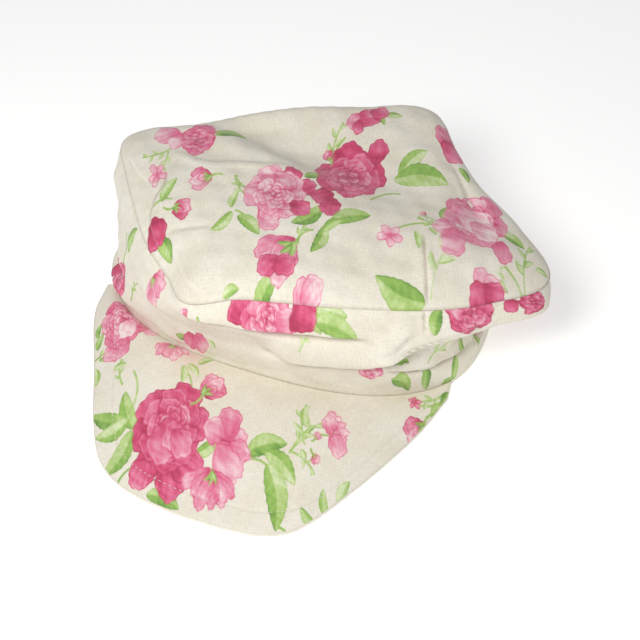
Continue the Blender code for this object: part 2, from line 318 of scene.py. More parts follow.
def tip_surface(degrees, share):
    """Points of the flat tip's outer face: share runs from 0 at the middle to 1 at the rim."""
    degrees, share = np.broadcast_arrays(np.asarray(degrees, float), np.asarray(share, float))
    rim_radius, rim_height = rim(degrees)
    turn = np.radians(degrees)
    x = share * rim_radius * np.cos(turn)
    y = share * rim_radius * np.sin(turn)
    around = np.arange(0, 360, 10)
    level = float(np.mean(rim(around)[1]))
    height = level + (rim_height - level) * share ** 3
    height = height + DOME_RISE * (1 - share ** 6) + SEAM_ROLL * (1 - share ** 24)
    for row in BUMPS:
        bump = dict(zip(BUMP_COLUMNS, row))
        aim = math.radians(bump["turn"])
        dx = x / TIP_REACH - bump["x"]
        dy = y / TIP_REACH - bump["y"]
        along = (dx * math.cos(aim) + dy * math.sin(aim)) / bump["along"]
        across = (dy * math.cos(aim) - dx * math.sin(aim)) / bump["across"]
        fade = ease(share, 1.0, 0.80)
        height = height + fade * bump["rise"] * CROWN_HEIGHT * np.exp(-along ** 2 - across ** 2)
    flat = np.stack((x, y), -1)
    soft = ease(share, 1.0, 0.92)
    height = height + soft * (0.9 * MM * ripple(flat, 6, 0.055, 21) + 0.30 * MM * ripple(flat, 7, 0.016, 22))
    pucker = ease(share, 0.90, 0.985) * ease(share, 1.0, 0.99) * np.sin(turn * 61 + 3 * np.sin(turn * 5))
    height = height + SEAM_PUCKER * pucker
    return np.stack((x, y, height), -1)


def peak_surface(way, share):
    """Points of the peak's upper face: way runs along the hem, share from the hem to the edge."""
    way, share = np.broadcast_arrays(np.asarray(way, float), np.asarray(share, float))
    end_left = 180 + PEAK_START
    end_right = 360 - PEAK_START
    degrees = end_left + way * (end_right - end_left)
    root = hem_radius(degrees)
    root_x = root * np.cos(np.radians(degrees))
    root_y = root * np.sin(np.radians(degrees))
    places = column(EDGE, EDGE_COLUMNS, "way")
    edge_x = smooth_through(places, column(EDGE, EDGE_COLUMNS, "across"), way) * PEAK_HALF_WIDTH
    edge_y = -HEM_HALF_DEPTH - smooth_through(places, column(EDGE, EDGE_COLUMNS, "out"), way) * PEAK_DEPTH
    x = root_x + (edge_x - root_x) * share
    y = root_y + (edge_y - root_y) * share
    middle = np.clip(1 - (2 * way - 1) ** 2, 0, 1)
    rise = PEAK_ROOT_RISE * (1 - share) ** 2 * middle
    arch = PEAK_ARCH * middle ** 0.7 * np.sin(math.pi * share ** 0.8) ** 1.2
    flat = np.stack((x, y), -1)
    soft = ease(share, 0, 0.1) * ease(share, 1.0, 0.90) * middle
    swell = soft * (0.5 * MM * ripple(flat, 6, 0.050, 31) + 0.15 * MM * ripple(flat, 7, 0.015, 32))
    inside = (1 - share) * np.hypot(edge_x - root_x, edge_y - root_y)
    groove = np.exp(-((inside - STITCH_INSET) / (0.9 * MM)) ** 2) - 0.5 * ease(inside, STITCH_INSET, 0)
    swell = swell - 0.35 * MM * groove * ease(share, 0.3, 0.5)
    return np.stack((x, y, PEAK_CLOTH + rise + arch + swell), -1)


def view_axes():
    """The camera's own directions: right, up, and back towards it from what it looks at."""
    turn = math.radians(VIEW_TURN)
    rise = math.radians(VIEW_RISE)
    right = np.array([math.cos(turn), math.sin(turn), 0])
    back = np.array([math.sin(turn) * math.cos(rise), -math.cos(turn) * math.cos(rise), math.sin(rise)])
    return right, np.cross(back, right), back


def in_photo(points):
    """Where points of the cloth show in the photograph's frame, in its pixels."""
    right, up, back = view_axes()
    offset = points - VIEW_TARGET - back * VIEW_DISTANCE
    scale = VIEW_LENS / VIEW_SENSOR * PHOTO_SIZE / -(offset @ back)
    return np.stack((0.5 * PHOTO_SIZE + scale * (offset @ right), 0.5 * PHOTO_SIZE - scale * (offset @ up)), -1)


def beside(seen, line):
    """How far points lie to the right of a line of corners, as one walks it, and how far along it."""
    line = np.array(line, float)
    steps = np.diff(line, axis=0)
    runs = np.linalg.norm(steps, axis=1)
    least = np.full(seen.shape[:-1], np.inf)
    off = np.zeros(seen.shape[:-1])
    way = np.zeros(seen.shape[:-1])
    for first, step, run, before in zip(line, steps, runs, np.cumsum(runs) - runs):
        here = seen - first
        share = np.clip(here @ step / run ** 2, 0, 1)
        gap = np.linalg.norm(here - share[..., None] * step, axis=-1)
        side = np.where(here[..., 1] * step[0] - here[..., 0] * step[1] < 0, -1, 1)
        near = gap < least
        off = np.where(near, gap * side, off)
        way = np.where(near, (before + share * run) / runs.sum(), way)
        least = np.minimum(least, gap)
    return off, way


def creased(points, rows, held):
    """Press the creases of a table into the cloth where it shows in the photograph."""
    seen = in_photo(points)
    normal = np.cross(np.gradient(points, axis=0), np.gradient(points, axis=1))
    normal /= np.maximum(np.linalg.norm(normal, axis=-1, keepdims=True), 1e-9)
    towards = VIEW_TARGET + view_axes()[2] * VIEW_DISTANCE - points
    facing = (normal * towards).sum(-1) / VIEW_DISTANCE
    lift = np.zeros(points.shape[:-1])
    for line, ridge, width, step in rows:
        off, way = beside(seen, line)
        rise = step * np.clip(0.5 + off / (2 * width), 0, 1) * np.exp(-np.maximum(off, 0) / (9 * width))
        ends = ease(way, 0, 0.25) * ease(way, 1, 0.8)
        lift += ends * (ridge * np.exp(-(off / width) ** 2) + rise)
    return points + normal * (lift * MM * held * ease(facing, 0, 0.7))[..., None]


def square_to_disc(count):
    """Angles and shares of a square grid of points spread evenly over a disc."""
    steps = np.linspace(-1, 1, count)
    u, v = np.meshgrid(steps, steps, indexing="ij")
    x = u * np.sqrt(1 - v * v / 2)
    y = v * np.sqrt(1 - u * u / 2)
    return np.degrees(np.arctan2(y, x)) % 360, np.clip(np.hypot(x, y), 0, 1)


def grid_faces(rows, columns, closed, first=0):
    """Faces between the points of a grid whose rows may close on themselves."""
    row = np.arange(rows - 1)[:, None] * columns
    here = np.arange(columns if closed else columns - 1)[None, :]
    after = (here + 1) % columns
    faces = np.stack((row + here, row + columns + here, row + columns + after, row + after), -1)
    return faces.reshape(-1, 4) + first


def make_mesh(name, points, quads, others=()):
    """A smooth-shaded mesh object from points, four-cornered faces and a few other faces."""
    mesh = bpy.data.meshes.new(name)
    faces = [tuple(int(i) for i in quad) for quad in quads]
    faces += [tuple(int(i) for i in face) for face in others]
    mesh.from_pydata([tuple(point) for point in points], [], faces)
    mesh.update()
    mesh.shade_smooth()
    piece = bpy.data.objects.new(name, mesh)
    bpy.context.scene.collection.objects.link(piece)
    return piece


def thin_inward(points, columns, closed, depth):
    """The same grid of points moved in by depth, against the faces' own direction."""
    grid = points.reshape(-1, columns, 3)
    if closed:
        along = np.roll(grid, -1, 1) - np.roll(grid, 1, 1)
    else:
        along = np.gradient(grid, axis=1)
    normal = np.cross(np.gradient(grid, axis=0), along)
    normal /= np.maximum(np.linalg.norm(normal, axis=-1, keepdims=True), 1e-9)
    return grid - normal * depth


def make_side(centre):
    """The side wall: a fine outer face, the turned hem and a coarser inner face in one sheet."""
    around = np.linspace(0, 360, SIDE_AROUND, endpoint=False)
    shares = np.linspace(0, 1, SIDE_DOWN)
    outer = np.array([side_wall(around, share) for share in shares])
    outer = creased(outer, SIDE_CREASES, ease(shares, 0, 0.03)[:, None] * ease(shares, 1.0, 0.9)[:, None])
    coarse = np.linspace(0, 1, SIDE_INSIDE)
    base = np.array([side_wall(around, share) for share in coarse])
    inner = thin_inward(base.reshape(-1, 3), SIDE_AROUND, True, CLOTH)[::-1]
    inner[0, :, 2] = 0
    rows = np.concatenate((outer, inner))
    faces = grid_faces(len(rows), SIDE_AROUND, True)
    last = (len(rows) - 1) * SIDE_AROUND
    here = np.arange(SIDE_AROUND)
    after = (here + 1) % SIDE_AROUND
    lid = np.stack((last + here, here, after, last + after), -1)
    return make_mesh("side_cloth", rows.reshape(-1, 3) + centre, np.concatenate((faces, lid))), outer


def make_tip(centre):
    """The flat tip: an even grid for the outer face, and rings for the inner one."""
    degrees, share = square_to_disc(TIP_ACROSS)
    outer = creased(tip_surface(degrees, share), TIP_CREASES, ease(share, 1.0, 0.97))
    faces = grid_faces(TIP_ACROSS, TIP_ACROSS, False)
    index = np.arange(TIP_ACROSS * TIP_ACROSS).reshape(TIP_ACROSS, TIP_ACROSS)
    border = np.concatenate((index[0, :-1], index[:-1, -1], index[-1, :0:-1], index[:0:-1, 0]))
    edge_degrees = degrees.reshape(-1)[border]
    rings = []
    for share_in in np.linspace(1, 0.04, TIP_INSIDE) ** 0.8:
        ring = tip_surface(edge_degrees, np.full(len(border), share_in * 0.985))
        ring[:, 2] -= CLOTH
        rings.append(ring)
    count = len(border)
    first = outer.reshape(-1, 3).shape[0]
    inner = np.concatenate(rings)
    here = np.arange(count)
    after = (here + 1) % count
    lip = np.stack((border[here], border[after], first + after, first + here), -1)
    under = grid_faces(TIP_INSIDE, count, True, first)[:, ::-1]
    cap = first + (TIP_INSIDE - 1) * count + here
    points = np.concatenate((outer.reshape(-1, 3), inner))
    return make_mesh("tip_cloth", points + centre, np.concatenate((faces, lip, under)), [cap]), outer


def make_peak(centre):
    """The peak: a fine upper face, a rounded edge and a coarser underside in one closed sheet."""
    ways = np.linspace(0, 1, PEAK_ACROSS)
    upper = np.array([peak_surface(ways, share) for share in np.linspace(0, 1, PEAK_OUT)])
    under = np.array([peak_surface(ways, share) for share in np.linspace(1, 0, PEAK_UNDER)])
    under[..., 2] -= PEAK_CLOTH
    rim_rows = []
    step = upper[-1] - upper[-12]
    step[:, 2] = 0
    step /= np.linalg.norm(step, axis=1, keepdims=True)
    upper[-1, :, 2] -= 0.35 * MM
    for turn in (40, 90, 140):
        bulge = 0.8 * MM * math.sin(math.radians(turn))
        drop = 0.5 * PEAK_CLOTH * (1 - math.cos(math.radians(turn)))
        rim_rows.append(under[0] + step * bulge + (0, 0, PEAK_CLOTH - drop))
    rows = np.concatenate((upper, rim_rows, under))
    rows[..., 2] = np.maximum(rows[..., 2], 0)
    faces = grid_faces(len(rows), PEAK_ACROSS, False)
    last = (len(rows) - 1) * PEAK_ACROSS
    here = np.arange(PEAK_ACROSS - 1)
    root = np.stack((last + here, here, here + 1, last + here + 1), -1)
    left = np.arange(len(rows)) * PEAK_ACROSS
    right = left + PEAK_ACROSS - 1
    points = rows.reshape(-1, 3) + centre
    return make_mesh("peak_cloth", points, np.concatenate((faces, root)), [left[::-1], right]), upper


# The hem's middle, from the frame: the CAD wall and this one have the same outline
outline = side_wall(np.arange(0, 360, 4.5)[None, :], np.linspace(0, 1, 21)[:, None]).reshape(-1, 3)
side_low, side_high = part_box("crown_side")
HEM_MIDDLE = np.array([0.5 * (side_low[i] + side_high[i] - outline[:, i].min() - outline[:, i].max())
                       for i in range(2)] + [0.0])

side_piece, side_points = make_side(HEM_MIDDLE)
tip_piece, tip_points = make_tip(HEM_MIDDLE)
peak_piece, peak_points = make_peak(HEM_MIDDLE)

# The rose chintz print, in millimetres across the cloth as it lies
PRINT_STRETCH = 1.41
PRINT_SCALE = 0.53
EDGE_SOFT = 0.5
# Painted shade in valleys and seams: rounds of smoothing that find a valley, the depth in metres that gets full
# painted shade, and how dark the painted shade along the peak's and the rim's seams is, from 0 to 1
VALLEY_REACH = 14
VALLEY_DEPTH = 1.3 * MM
PEAK_SEAM_SHADE = 0.7
RIM_SEAM_SHADE = 0.35
# Back to the print: how far ink spreads past bare cloth, the widths of a leaf and a petal as shares of their
# lengths, and the depth inside the print given to bare cloth
SPREAD = 1.1
LEAF_WIDTH = 0.27
PETAL_WIDTH = 0.42
BARE = -4.0

PINKS = ((0.00, (178, 34, 84)), (0.20, (210, 62, 112)), (0.40, (226, 102, 144)),
         (0.60, (234, 144, 172)), (0.80, (243, 190, 204)), (1.00, (250, 228, 226)))
GREENS = ((0.00, (92, 142, 54)), (0.25, (136, 180, 80)), (0.50, (160, 196, 98)),
          (0.75, (190, 214, 140)), (1.00, (219, 232, 186)))
GROUND_PALE = (238, 233, 220)
GROUND_WARM = (233, 226, 209)
# The colour towards which the painted shade in valleys and seams multiplies the cloth
VALLEY_SHADE = (166, 150, 133)
STAIN = (222, 208, 182)

# Motifs read from the photograph: the kind, its place and size in the photograph's pixels, its
# turn in degrees, its tone from 0, deep, to 1, pale, and for a round flower how long it is for its width
MOTIF_COLUMNS = ("kind", "right", "down", "size", "turn", "tone", "stretch")
TIP_MOTIFS = (
    ("stem", 371, 200, 32, 22, 0.50),
    ("stem", 248, 188, 18, 130, 0.50),
    ("stem", 236, 210, 22, -50, 0.50),
    ("stem", 154, 206, 18, 8, 0.50),
    ("stem", 505, 267, 36, -58, 0.55),
    ("stem", 392, 232, 46, 10, 0.55),
    ("stem", 332, 168, 30, 62, 0.55),
    ("sprig", 172, 148, 30, 195, 0.62),
    ("sprig", 168, 150, 26, 250, 0.70),
    ("sprig", 247, 196, 26, 120, 0.58),
    ("sprig", 332, 164, 36, 70, 0.62),
    ("sprig", 452, 224, 34, 175, 0.58),
    ("sprig", 431, 298, 56, 58, 0.80),
    ("sprig", 298, 244, 26, 60, 0.55),
    ("sprig", 527, 300, 42, 78, 0.52),
    ("sprig", 507, 292, 16, 110, 0.60),
    ("leaf", 231, 134, 33, 8, 0.26),
    ("leaf", 168, 189, 26, 55, 0.46),
    ("leaf", 234, 199, 20, 70, 0.58),
    ("leaf", 222, 222, 26, 215, 0.50),
    ("leaf", 249, 224, 30, -42, 0.34),
    ("leaf", 165, 250, 26, -52, 0.18),
    ("leaf", 317, 176, 26, 10, 0.26),
    ("leaf", 308, 216, 36, 208, 0.32),
    ("leaf", 351, 217, 40, 12, 0.28),
    ("leaf", 319, 239, 30, 240, 0.32),
    ("leaf", 332, 224, 22, 25, 0.42),
    ("leaf", 394, 116, 18, -4, 0.50),
    ("leaf", 382, 121, 12, -60, 0.30),
    ("leaf", 412, 162, 38, 36, 0.54),
    ("leaf", 422, 178, 56, -8, 0.46),
    ("leaf", 445, 213, 20, 62, 0.38),
    ("leaf", 418, 239, 18, -82, 0.62),
    ("leaf", 433, 231, 12, -50, 0.50),
    ("leaf", 465, 175, 18, -60, 0.34),
    ("leaf", 493, 222, 32, -38, 0.26),
    ("leaf", 513, 240, 26, -28, 0.36),
    ("leaf", 266, 293, 34, 46, 0.38),
    ("leaf", 231, 291, 16, 8, 0.46),
    ("leaf", 400, 292, 50, 162, 0.36),
    ("leaf", 542, 273, 13, -10, 0.60),
    ("petal", 167, 134, 26, 185, 0.70),
    ("petal", 177, 141, 20, 215, 0.78),
    ("rose", 198, 140, 19, 20, 0.40, 1.10),
    ("petal", 292, 178, 24, 75, 0.20),
    ("petal", 306, 188, 22, 50, 0.24),
    ("petal", 268, 218, 26, -60, 0.66),
    ("rose", 276, 194, 30, 25, 0.58, 1.05),
    ("petal", 300, 208, 22, -20, 0.30),
    ("petal", 378, 152, 24, 70, 0.26),
    ("petal", 322, 196, 24, 215, 0.20),
    ("petal", 330, 206, 24, 250, 0.24),
    ("rose", 349, 177, 37, 45, 0.22, 1.10),
    ("petal", 356, 122, 20, 200, 0.60),
    ("petal", 358, 127, 14, 260, 0.34),
    ("petal", 370, 117, 24, 20, 0.46),
    ("petal", 380, 113, 20, 12, 0.36),
    ("petal", 446, 138, 26, 115, 0.50),
    ("petal", 452, 152, 26, -60, 0.44),
    ("petal", 446, 226, 26, 200, 0.68),
    ("petal", 454, 240, 30, 250, 0.66),
    ("rose", 477, 223, 30, -46, 0.52, 1.25),
    ("petal", 474, 222, 38, -46, 0.90),
    ("petal", 484, 232, 30, -46, 0.82),
    ("petal", 502, 252, 22, -70, 0.56),
    ("petal", 482, 283, 20, 100, 0.66),
    ("petal", 491, 290, 20, 40, 0.72),
    ("petal", 482, 299, 26, 190, 0.28),
    ("petal", 494, 298, 22, 5, 0.32),
    ("bud", 200, 179, 13, 188, 0.60),
    ("bud", 182, 208, 11, -12, 0.40),
    ("petal", 156, 231, 24, -62, 0.18),
    ("blossom", 157, 175, 11, 200, 0.72),
    ("blossom", 390, 235, 13, 190, 0.72),
    ("bud", 423, 214, 4, 120, 0.66),
    ("petal", 284, 247, 26, 200, 0.56),
    ("bud", 277, 255, 24, 214, 0.64),
    ("petal", 268, 264, 22, 200, 0.34),
    ("petal", 284, 264, 22, 10, 0.34),
    ("petal", 303, 296, 22, 80, 0.70),
    ("petal", 312, 289, 22, 25, 0.78),
    ("bud", 328, 156, 6, 110, 0.46),
)
SIDE_MOTIFS = (
    ("stem", 127, 234, 50, -82, 0.42),
    ("stem", 197, 318, 20, -100, 0.52),
    ("sprig", 131, 300, 22, 75, 0.46),
    ("sprig", 198, 320, 22, 30, 0.50),
    ("sprig", 300, 352, 24, 50, 0.86),
    ("sprig", 428, 362, 36, 20, 0.72),
    ("leaf", 131, 239, 30, 74, 0.22),
    ("leaf", 181, 336, 16, 200, 0.28),
    ("leaf", 212, 344, 13, -60, 0.66),
    ("leaf", 326, 315, 46, 6, 0.56),
    ("leaf", 336, 330, 46, -18, 0.42),
    ("leaf", 313, 326, 22, -30, 0.30),
    ("leaf", 437, 321, 26, 60, 0.30),
    ("leaf", 458, 327, 30, -64, 0.26),
    ("leaf", 399, 361, 20, -20, 0.32),
    ("leaf", 402, 382, 30, -48, 0.22),
    ("leaf", 427, 376, 26, 82, 0.28),
    ("leaf", 446, 383, 18, 20, 0.34),
    ("leaf", 456, 368, 22, 62, 0.34),
    ("leaf", 462, 345, 18, 70, 0.34),
    ("leaf", 476, 337, 18, 58, 0.44),
    ("leaf", 489, 331, 18, 34, 0.56),
    ("petal", 240, 311, 24, 120, 0.24),
    ("rose", 268, 320, 24, 2, 0.42, 1.25),
    ("petal", 287, 322, 24, 15, 0.70),
    ("petal", 303, 317, 30, 36, 0.22),
    ("rose", 470, 313, 20, 20, 0.26, 1.25),
    ("petal", 487, 309, 24, 15, 0.30),
    ("petal", 475, 321, 20, -80, 0.36),
    ("petal", 510, 306, 13, -100, 0.24),
    ("rose", 533, 302, 11, 30, 0.24, 1.10),
    ("petal", 120, 268, 22, 80, 0.24),
    ("rose", 119, 280, 15, 80, 0.28, 1.25),
    ("lily", 152, 279, 22, -25, 0.72),
    ("petal", 151, 300, 18, -60, 0.70),
    ("bud", 183, 315, 6, 130, 0.66),
    ("petal", 191, 341, 20, -95, 0.46),
    ("petal", 201, 343, 24, -55, 0.58),
    ("rose", 369, 369, 11, 0, 0.62, 1.20),
)
PEAK_MOTIFS = (
    ("stem", 134, 371, 34, -88, 0.70),
    ("stem", 182, 368, 22, -60, 0.66),
    ("stem", 247, 459, 24, -22, 0.50),
    ("stem", 266, 470, 14, -60, 0.50),
    ("stem", 290, 452, 40, 22, 0.62),
    ("stem", 118, 482, 20, 32, 0.30),
    ("stem", 278, 527, 14, -40, 0.45),
    ("stem", 450, 396, 40, 200, 0.60),
    ("sprig", 292, 450, 36, 40, 0.66),
    ("sprig", 290, 451, 28, -35, 0.66),
    ("sprig", 304, 444, 36, 88, 0.70),
    ("sprig", 122, 384, 24, 100, 0.60),
    ("sprig", 94, 362, 22, 20, 0.50),
    ("sprig", 444, 394, 32, 200, 0.62),
    ("leaf", 99, 331, 14, 80, 0.34),
    ("leaf", 100, 342, 16, 70, 0.30),
    ("leaf", 103, 360, 10, -20, 0.42),
    ("leaf", 96, 378, 18, -82, 0.58),
    ("leaf", 120, 366, 14, 12, 0.60),
    ("leaf", 206, 361, 18, 30, 0.66),
    ("leaf", 184, 373, 18, -92, 0.64),
    ("leaf", 194, 370, 18, -52, 0.66),
    ("leaf", 128, 411, 36, 112, 0.40),
    ("leaf", 108, 419, 36, 165, 0.26),
    ("leaf", 112, 432, 34, 200, 0.50),
    ("leaf", 119, 455, 42, 236, 0.38),
    ("leaf", 163, 500, 34, -22, 0.34),
    ("leaf", 205, 448, 26, 205, 0.44),
    ("leaf", 267, 446, 40, 10, 0.26),
    ("leaf", 282, 466, 38, -42, 0.48),
    ("leaf", 274, 496, 50, -80, 0.40),
    ("leaf", 305, 415, 20, 88, 0.64),
    ("leaf", 311, 428, 11, 40, 0.56),
    ("leaf", 303, 456, 12, -70, 0.56),
    ("leaf", 324, 503, 20, 98, 0.50),
    ("leaf", 308, 518, 20, 140, 0.40),
    ("leaf", 343, 493, 22, 58, 0.58),
    ("leaf", 438, 412, 18, 40, 0.34),
    ("leaf", 450, 402, 18, 48, 0.30),
    ("petal", 150, 330, 22, -35, 0.66),
    ("petal", 120, 346, 26, 262, 0.52),
    ("petal", 112, 352, 20, 240, 0.62),
    ("petal", 144, 319, 26, -20, 0.26),
    ("rose", 124, 321, 25, 75, 0.46, 1.00),
    ("petal", 128, 328, 22, 240, 0.92),
    ("lily", 172, 345, 20, -92, 0.74),
    ("petal", 146, 467, 32, 215, 0.28),
    ("petal", 140, 474, 24, 250, 0.40),
    ("petal", 170, 480, 32, -82, 0.26),
    ("petal", 186, 466, 32, -25, 0.30),
    ("rose", 169, 425, 36, 84, 0.20, 1.12),
    ("petal", 163, 441, 36, 262, 0.46),
    ("petal", 173, 436, 26, 275, 0.56),
    ("petal", 181, 442, 26, 300, 0.52),
    ("lily", 214, 448, 32, 6, 0.80),
    ("petal", 229, 424, 30, 82, 0.50),
    ("petal", 214, 430, 24, 120, 0.66),
    ("petal", 238, 451, 22, -20, 0.60),
    ("petal", 226, 465, 32, -70, 0.72),
    ("lily", 212, 472, 28, -104, 0.64),
    ("bud", 213, 387, 15, 38, 0.52),
    ("lily", 330, 434, 20, 18, 0.74),
    ("petal", 330, 424, 18, 100, 0.66),
    ("petal", 337, 445, 20, -60, 0.68),
    ("bud", 317, 436, 4, 40, 0.56),
    ("bud", 315, 459, 5, -60, 0.56),
    ("bud", 417, 434, 14, 226, 0.56),
    ("blossom", 414, 402, 7, 10, 0.52),
)

# Motifs on the hidden back of the wall: round from the front and down from the rim, in millimetres
BACK_MOTIFS = (
    ("stem", 176, -34, 26, 30, 0.55),
    ("stem", -196, -30, 24, 200, 0.60),
    ("stem", 262, -24, 24, -20, 0.60),
    ("sprig", 158, -22, 22, 70, 0.66),
    ("sprig", 236, -40, 20, 120, 0.62),
    ("sprig", -214, -38, 22, 250, 0.64),
    ("sprig", -260, -18, 20, 40, 0.70),
    ("leaf", 168, -42, 22, 20, 0.34),
    ("leaf", 205, -14, 18, 60, 0.42),
    ("leaf", 214, -30, 24, -30, 0.30),
    ("leaf", 284, -34, 22, 200, 0.34),
    ("leaf", -182, -20, 22, 150, 0.34),
    ("leaf", -208, -12, 18, 100, 0.44),
    ("leaf", -232, -30, 20, 20, 0.40),
    ("rose", 190, -28, 16, 20, 0.28, 1.10),
    ("rose", 262, -20, 14, 80, 0.58, 1.10),
    ("rose", -206, -26, 15, 140, 0.32, 1.10),
    ("lily", 228, -18, 16, 60, 0.72),
    ("bud", 150, -40, 8, -60, 0.50),
    ("bud", -178, -44, 8, 220, 0.55),
    ("bud", 292, -44, 7, 30, 0.50),
    ("blossom", -250, -36, 9, 10, 0.70),
)

# Rings of a rose from the outside in: reach, length and half-width are shares of its radius
RING_COLUMNS = ("petals", "reach", "length", "width", "shift", "lip")
ROSE_RINGS = (
    (7, 0.28, 0.72, 0.42, -0.04, 0.14),
    (6, 0.24, 0.58, 0.38, 0.06, 0.20),
    (5, 0.20, 0.44, 0.32, 0.16, 0.24),
    (5, 0.12, 0.34, 0.24, 0.02, 0.30),
    (4, 0.06, 0.26, 0.17, 0.18, 0.26),
    (3, 0.00, 0.18, 0.11, -0.06, 0.34),
)


def linear(colour):
    """A linear colour from one given as 0 to 255."""
    value = np.asarray(colour, float) / 255
    return np.where(value <= 0.04045, value / 12.92, ((value + 0.055) / 1.055) ** 2.4)


def shade_of(ramp, tone):
    """Colours along a ramp, for an array of tones from 0 to 1."""
    stops = [stop for stop, _ in ramp]
    colours = linear([colour for _, colour in ramp])
    return np.stack([np.interp(tone, stops, colours[:, i]) for i in range(3)], -1)


class Print:
    """The printed colour at each point of one sheet, and how far inside the print the point lies."""

    def __init__(self, places, seed):
        self.places = places
        self.ink = np.tile(linear(GROUND_PALE), (len(places), 1))
        self.cover = np.full(len(places), BARE)
        self.wash = 0.07 * ripple(places, 6, 7.0, seed) + 0.04 * ripple(places, 6, 2.6, seed + 50)
        self.draw = np.random.default_rng(seed)

    def near(self, x, y, reach, turn=0.0):
        """The points within reach of a place, and where they lie from it, turned."""
        dx = self.places[:, 0] - x
        dy = self.places[:, 1] - y
        hit = np.nonzero((np.abs(dx) < reach) & (np.abs(dy) < reach))[0]
        aim = math.radians(turn)
        along = dx[hit] * math.cos(aim) + dy[hit] * math.sin(aim)
        across = dy[hit] * math.cos(aim) - dx[hit] * math.sin(aim)
        return hit, along, across

    def lay(self, hit, inside, ramp, tone):
        """Print a colour where inside is above zero, and carry it a little past bare edges."""
        colour = shade_of(ramp, np.clip(tone + self.wash[hit], 0, 1))
        weight = np.clip(0.5 + inside / EDGE_SOFT, 0, 1)
        bare = (self.cover[hit] < -0.1) & (inside > -SPREAD)
        weight = np.where(bare, 1.0, weight)[:, None]
        self.ink[hit] = self.ink[hit] * (1 - weight) + colour * weight
        self.cover[hit] = np.maximum(self.cover[hit], inside)

    def petal(self, x, y, turn, length, width, tone, lip=0.16):
        """One petal from its base outwards: deep at the base, streaked, with a light lip."""
        hit, along, across = self.near(x, y, length + width + 1.5, turn)
        phase = self.draw.uniform(0, 2 * math.pi, 4)
        middle = 0.56
        a = along / length
        b = across / width
        spoke = np.hypot((a - middle) / np.where(a < middle, middle, 1 - middle), b)
        around = np.arctan2(b, (a - middle) * 2)
        edge = 1 + 0.07 * np.sin(4 * around + phase[0]) + 0.04 * np.sin(9 * around + phase[1])
        inside = (edge - spoke) * min(width, length * 0.5)
        deep = 0.24 * np.clip(1.1 - a * 1.4, 0, 1)
        streak = np.sin(b * (5 + phase[2]) * (1.5 - 0.6 * a) + phase[3] + 2.0 * np.sin(a * 4 + phase[0]))
        glow = 0.14 * np.exp(-((a - 0.62) / 0.28) ** 2 - (b / 0.6) ** 2)
        pale = lip * np.exp(-((inside - 0.9) / 0.4) ** 2) * np.clip(a * 1.6, 0, 1)
        rim_line = 0.22 * np.exp(-((inside - 0.1) / 0.35) ** 2)
        self.lay(hit, inside, PINKS, tone - deep + 0.045 * streak + glow + pale - rim_line)

    def leaf(self, x, y, turn, length, width, tone):
        """One toothed leaf about its middle: a deep and a light half, a midrib and slanting veins."""
        hit, along, across = self.near(x, y, length * 0.6 + 1.5, turn)
        phase = self.draw.uniform(0, 2 * math.pi, 2)
        a = np.clip(along / length + 0.5, 0, 1)
        across = across - 0.10 * length * (4 * a * (1 - a) - 0.5)
        tooth = 1 + 0.20 * np.abs((a * 7 + phase[0]) % 1 - 0.5)
        half = 1.95 * width * a ** 0.62 * (1 - a) ** 0.80 * tooth
        inside = np.minimum(half - np.abs(across), (0.5 - np.abs(along / length)) * length * 0.6)
        halves = 0.20 * np.clip(across / 0.7, -1, 1) * (1 if phase[1] > math.pi else -1)
        vein = (a * 6 - np.abs(across) / width * 1.1 + phase[1]) % 1
        lines = 0.13 * np.exp(-((vein - 0.5) / 0.14) ** 2) + 0.22 * np.exp(-(across / 0.4) ** 2)
        rim_line = 0.24 * np.exp(-((inside - 0.1) / 0.4) ** 2)
        patch = 0.16 * np.sin(a * 4 + phase[0]) * np.cos(across / width + phase[1])
        self.lay(hit, inside, GREENS, tone + 0.12 + halves + lines + patch - rim_line)

    def stem(self, x, y, turn, length, tone, thick=0.58, curve=0.14):
        """A thin curved stalk that starts at a place and runs a length along a direction."""
        hit, along, across = self.near(x, y, length * 1.1 + 2, turn)
        a = np.clip(along / length, 0, 1)
        gap = np.hypot(across - curve * length * 4 * a * (1 - a), along - a * length)
        inside = thick * (1 - 0.15 * a) - gap / np.hypot(1, curve * 4 * (1 - 2 * a))
        self.lay(hit, inside, GREENS, np.full(len(hit), tone))

    def rose(self, x, y, size, turn, tone, stretch=1.0):
        """A full rose: rings of petals laid from the outside in, round a tight heart."""
        aim = math.radians(turn)
        for row in ROSE_RINGS:
            ring = dict(zip(RING_COLUMNS, row))
            start = self.draw.uniform(0, 360)
            for i in range(ring["petals"]):
                angle = start + 360 * i / ring["petals"] + self.draw.uniform(-14, 14)
                ax = math.cos(math.radians(angle)) * ring["reach"] * size * stretch
                ay = math.sin(math.radians(angle)) * ring["reach"] * size
                grow = size * self.draw.uniform(0.86, 1.14)
                self.petal(x + ax * math.cos(aim) - ay * math.sin(aim),
                           y + ax * math.sin(aim) + ay * math.cos(aim),
                           angle + turn + self.draw.uniform(-18, 18), ring["length"] * grow,
                           ring["width"] * grow,
                           tone + ring["shift"] * (1.4 - 2.2 * tone) + self.draw.uniform(-0.10, 0.12),
                           ring["lip"])

    def bud(self, x, y, size, turn, tone):
        """A half-open bud: two side petals round a middle one, on a green cup."""
        aim = math.radians(turn)
        x -= 0.8 * size * math.cos(aim)
        y -= 0.8 * size * math.sin(aim)
        self.stem(x, y, turn + 180, size * 0.9, 0.5)
        for lean, long, wide, shift in ((24, 1.60, 0.52, 0.08), (-24, 1.60, 0.52, -0.10),
                                        (2, 1.70, 0.46, 0.16), (-8, 1.05, 0.34, -0.08)):
            self.petal(x, y, turn + lean, size * long, size * wide, tone + shift)
        for lean in (-38, 0, 38):
            cup = math.radians(turn + lean)
            self.leaf(x + 0.28 * size * math.cos(cup), y + 0.28 * size * math.sin(cup), turn + lean,
                      size * 0.8, size * 0.16, 0.30)

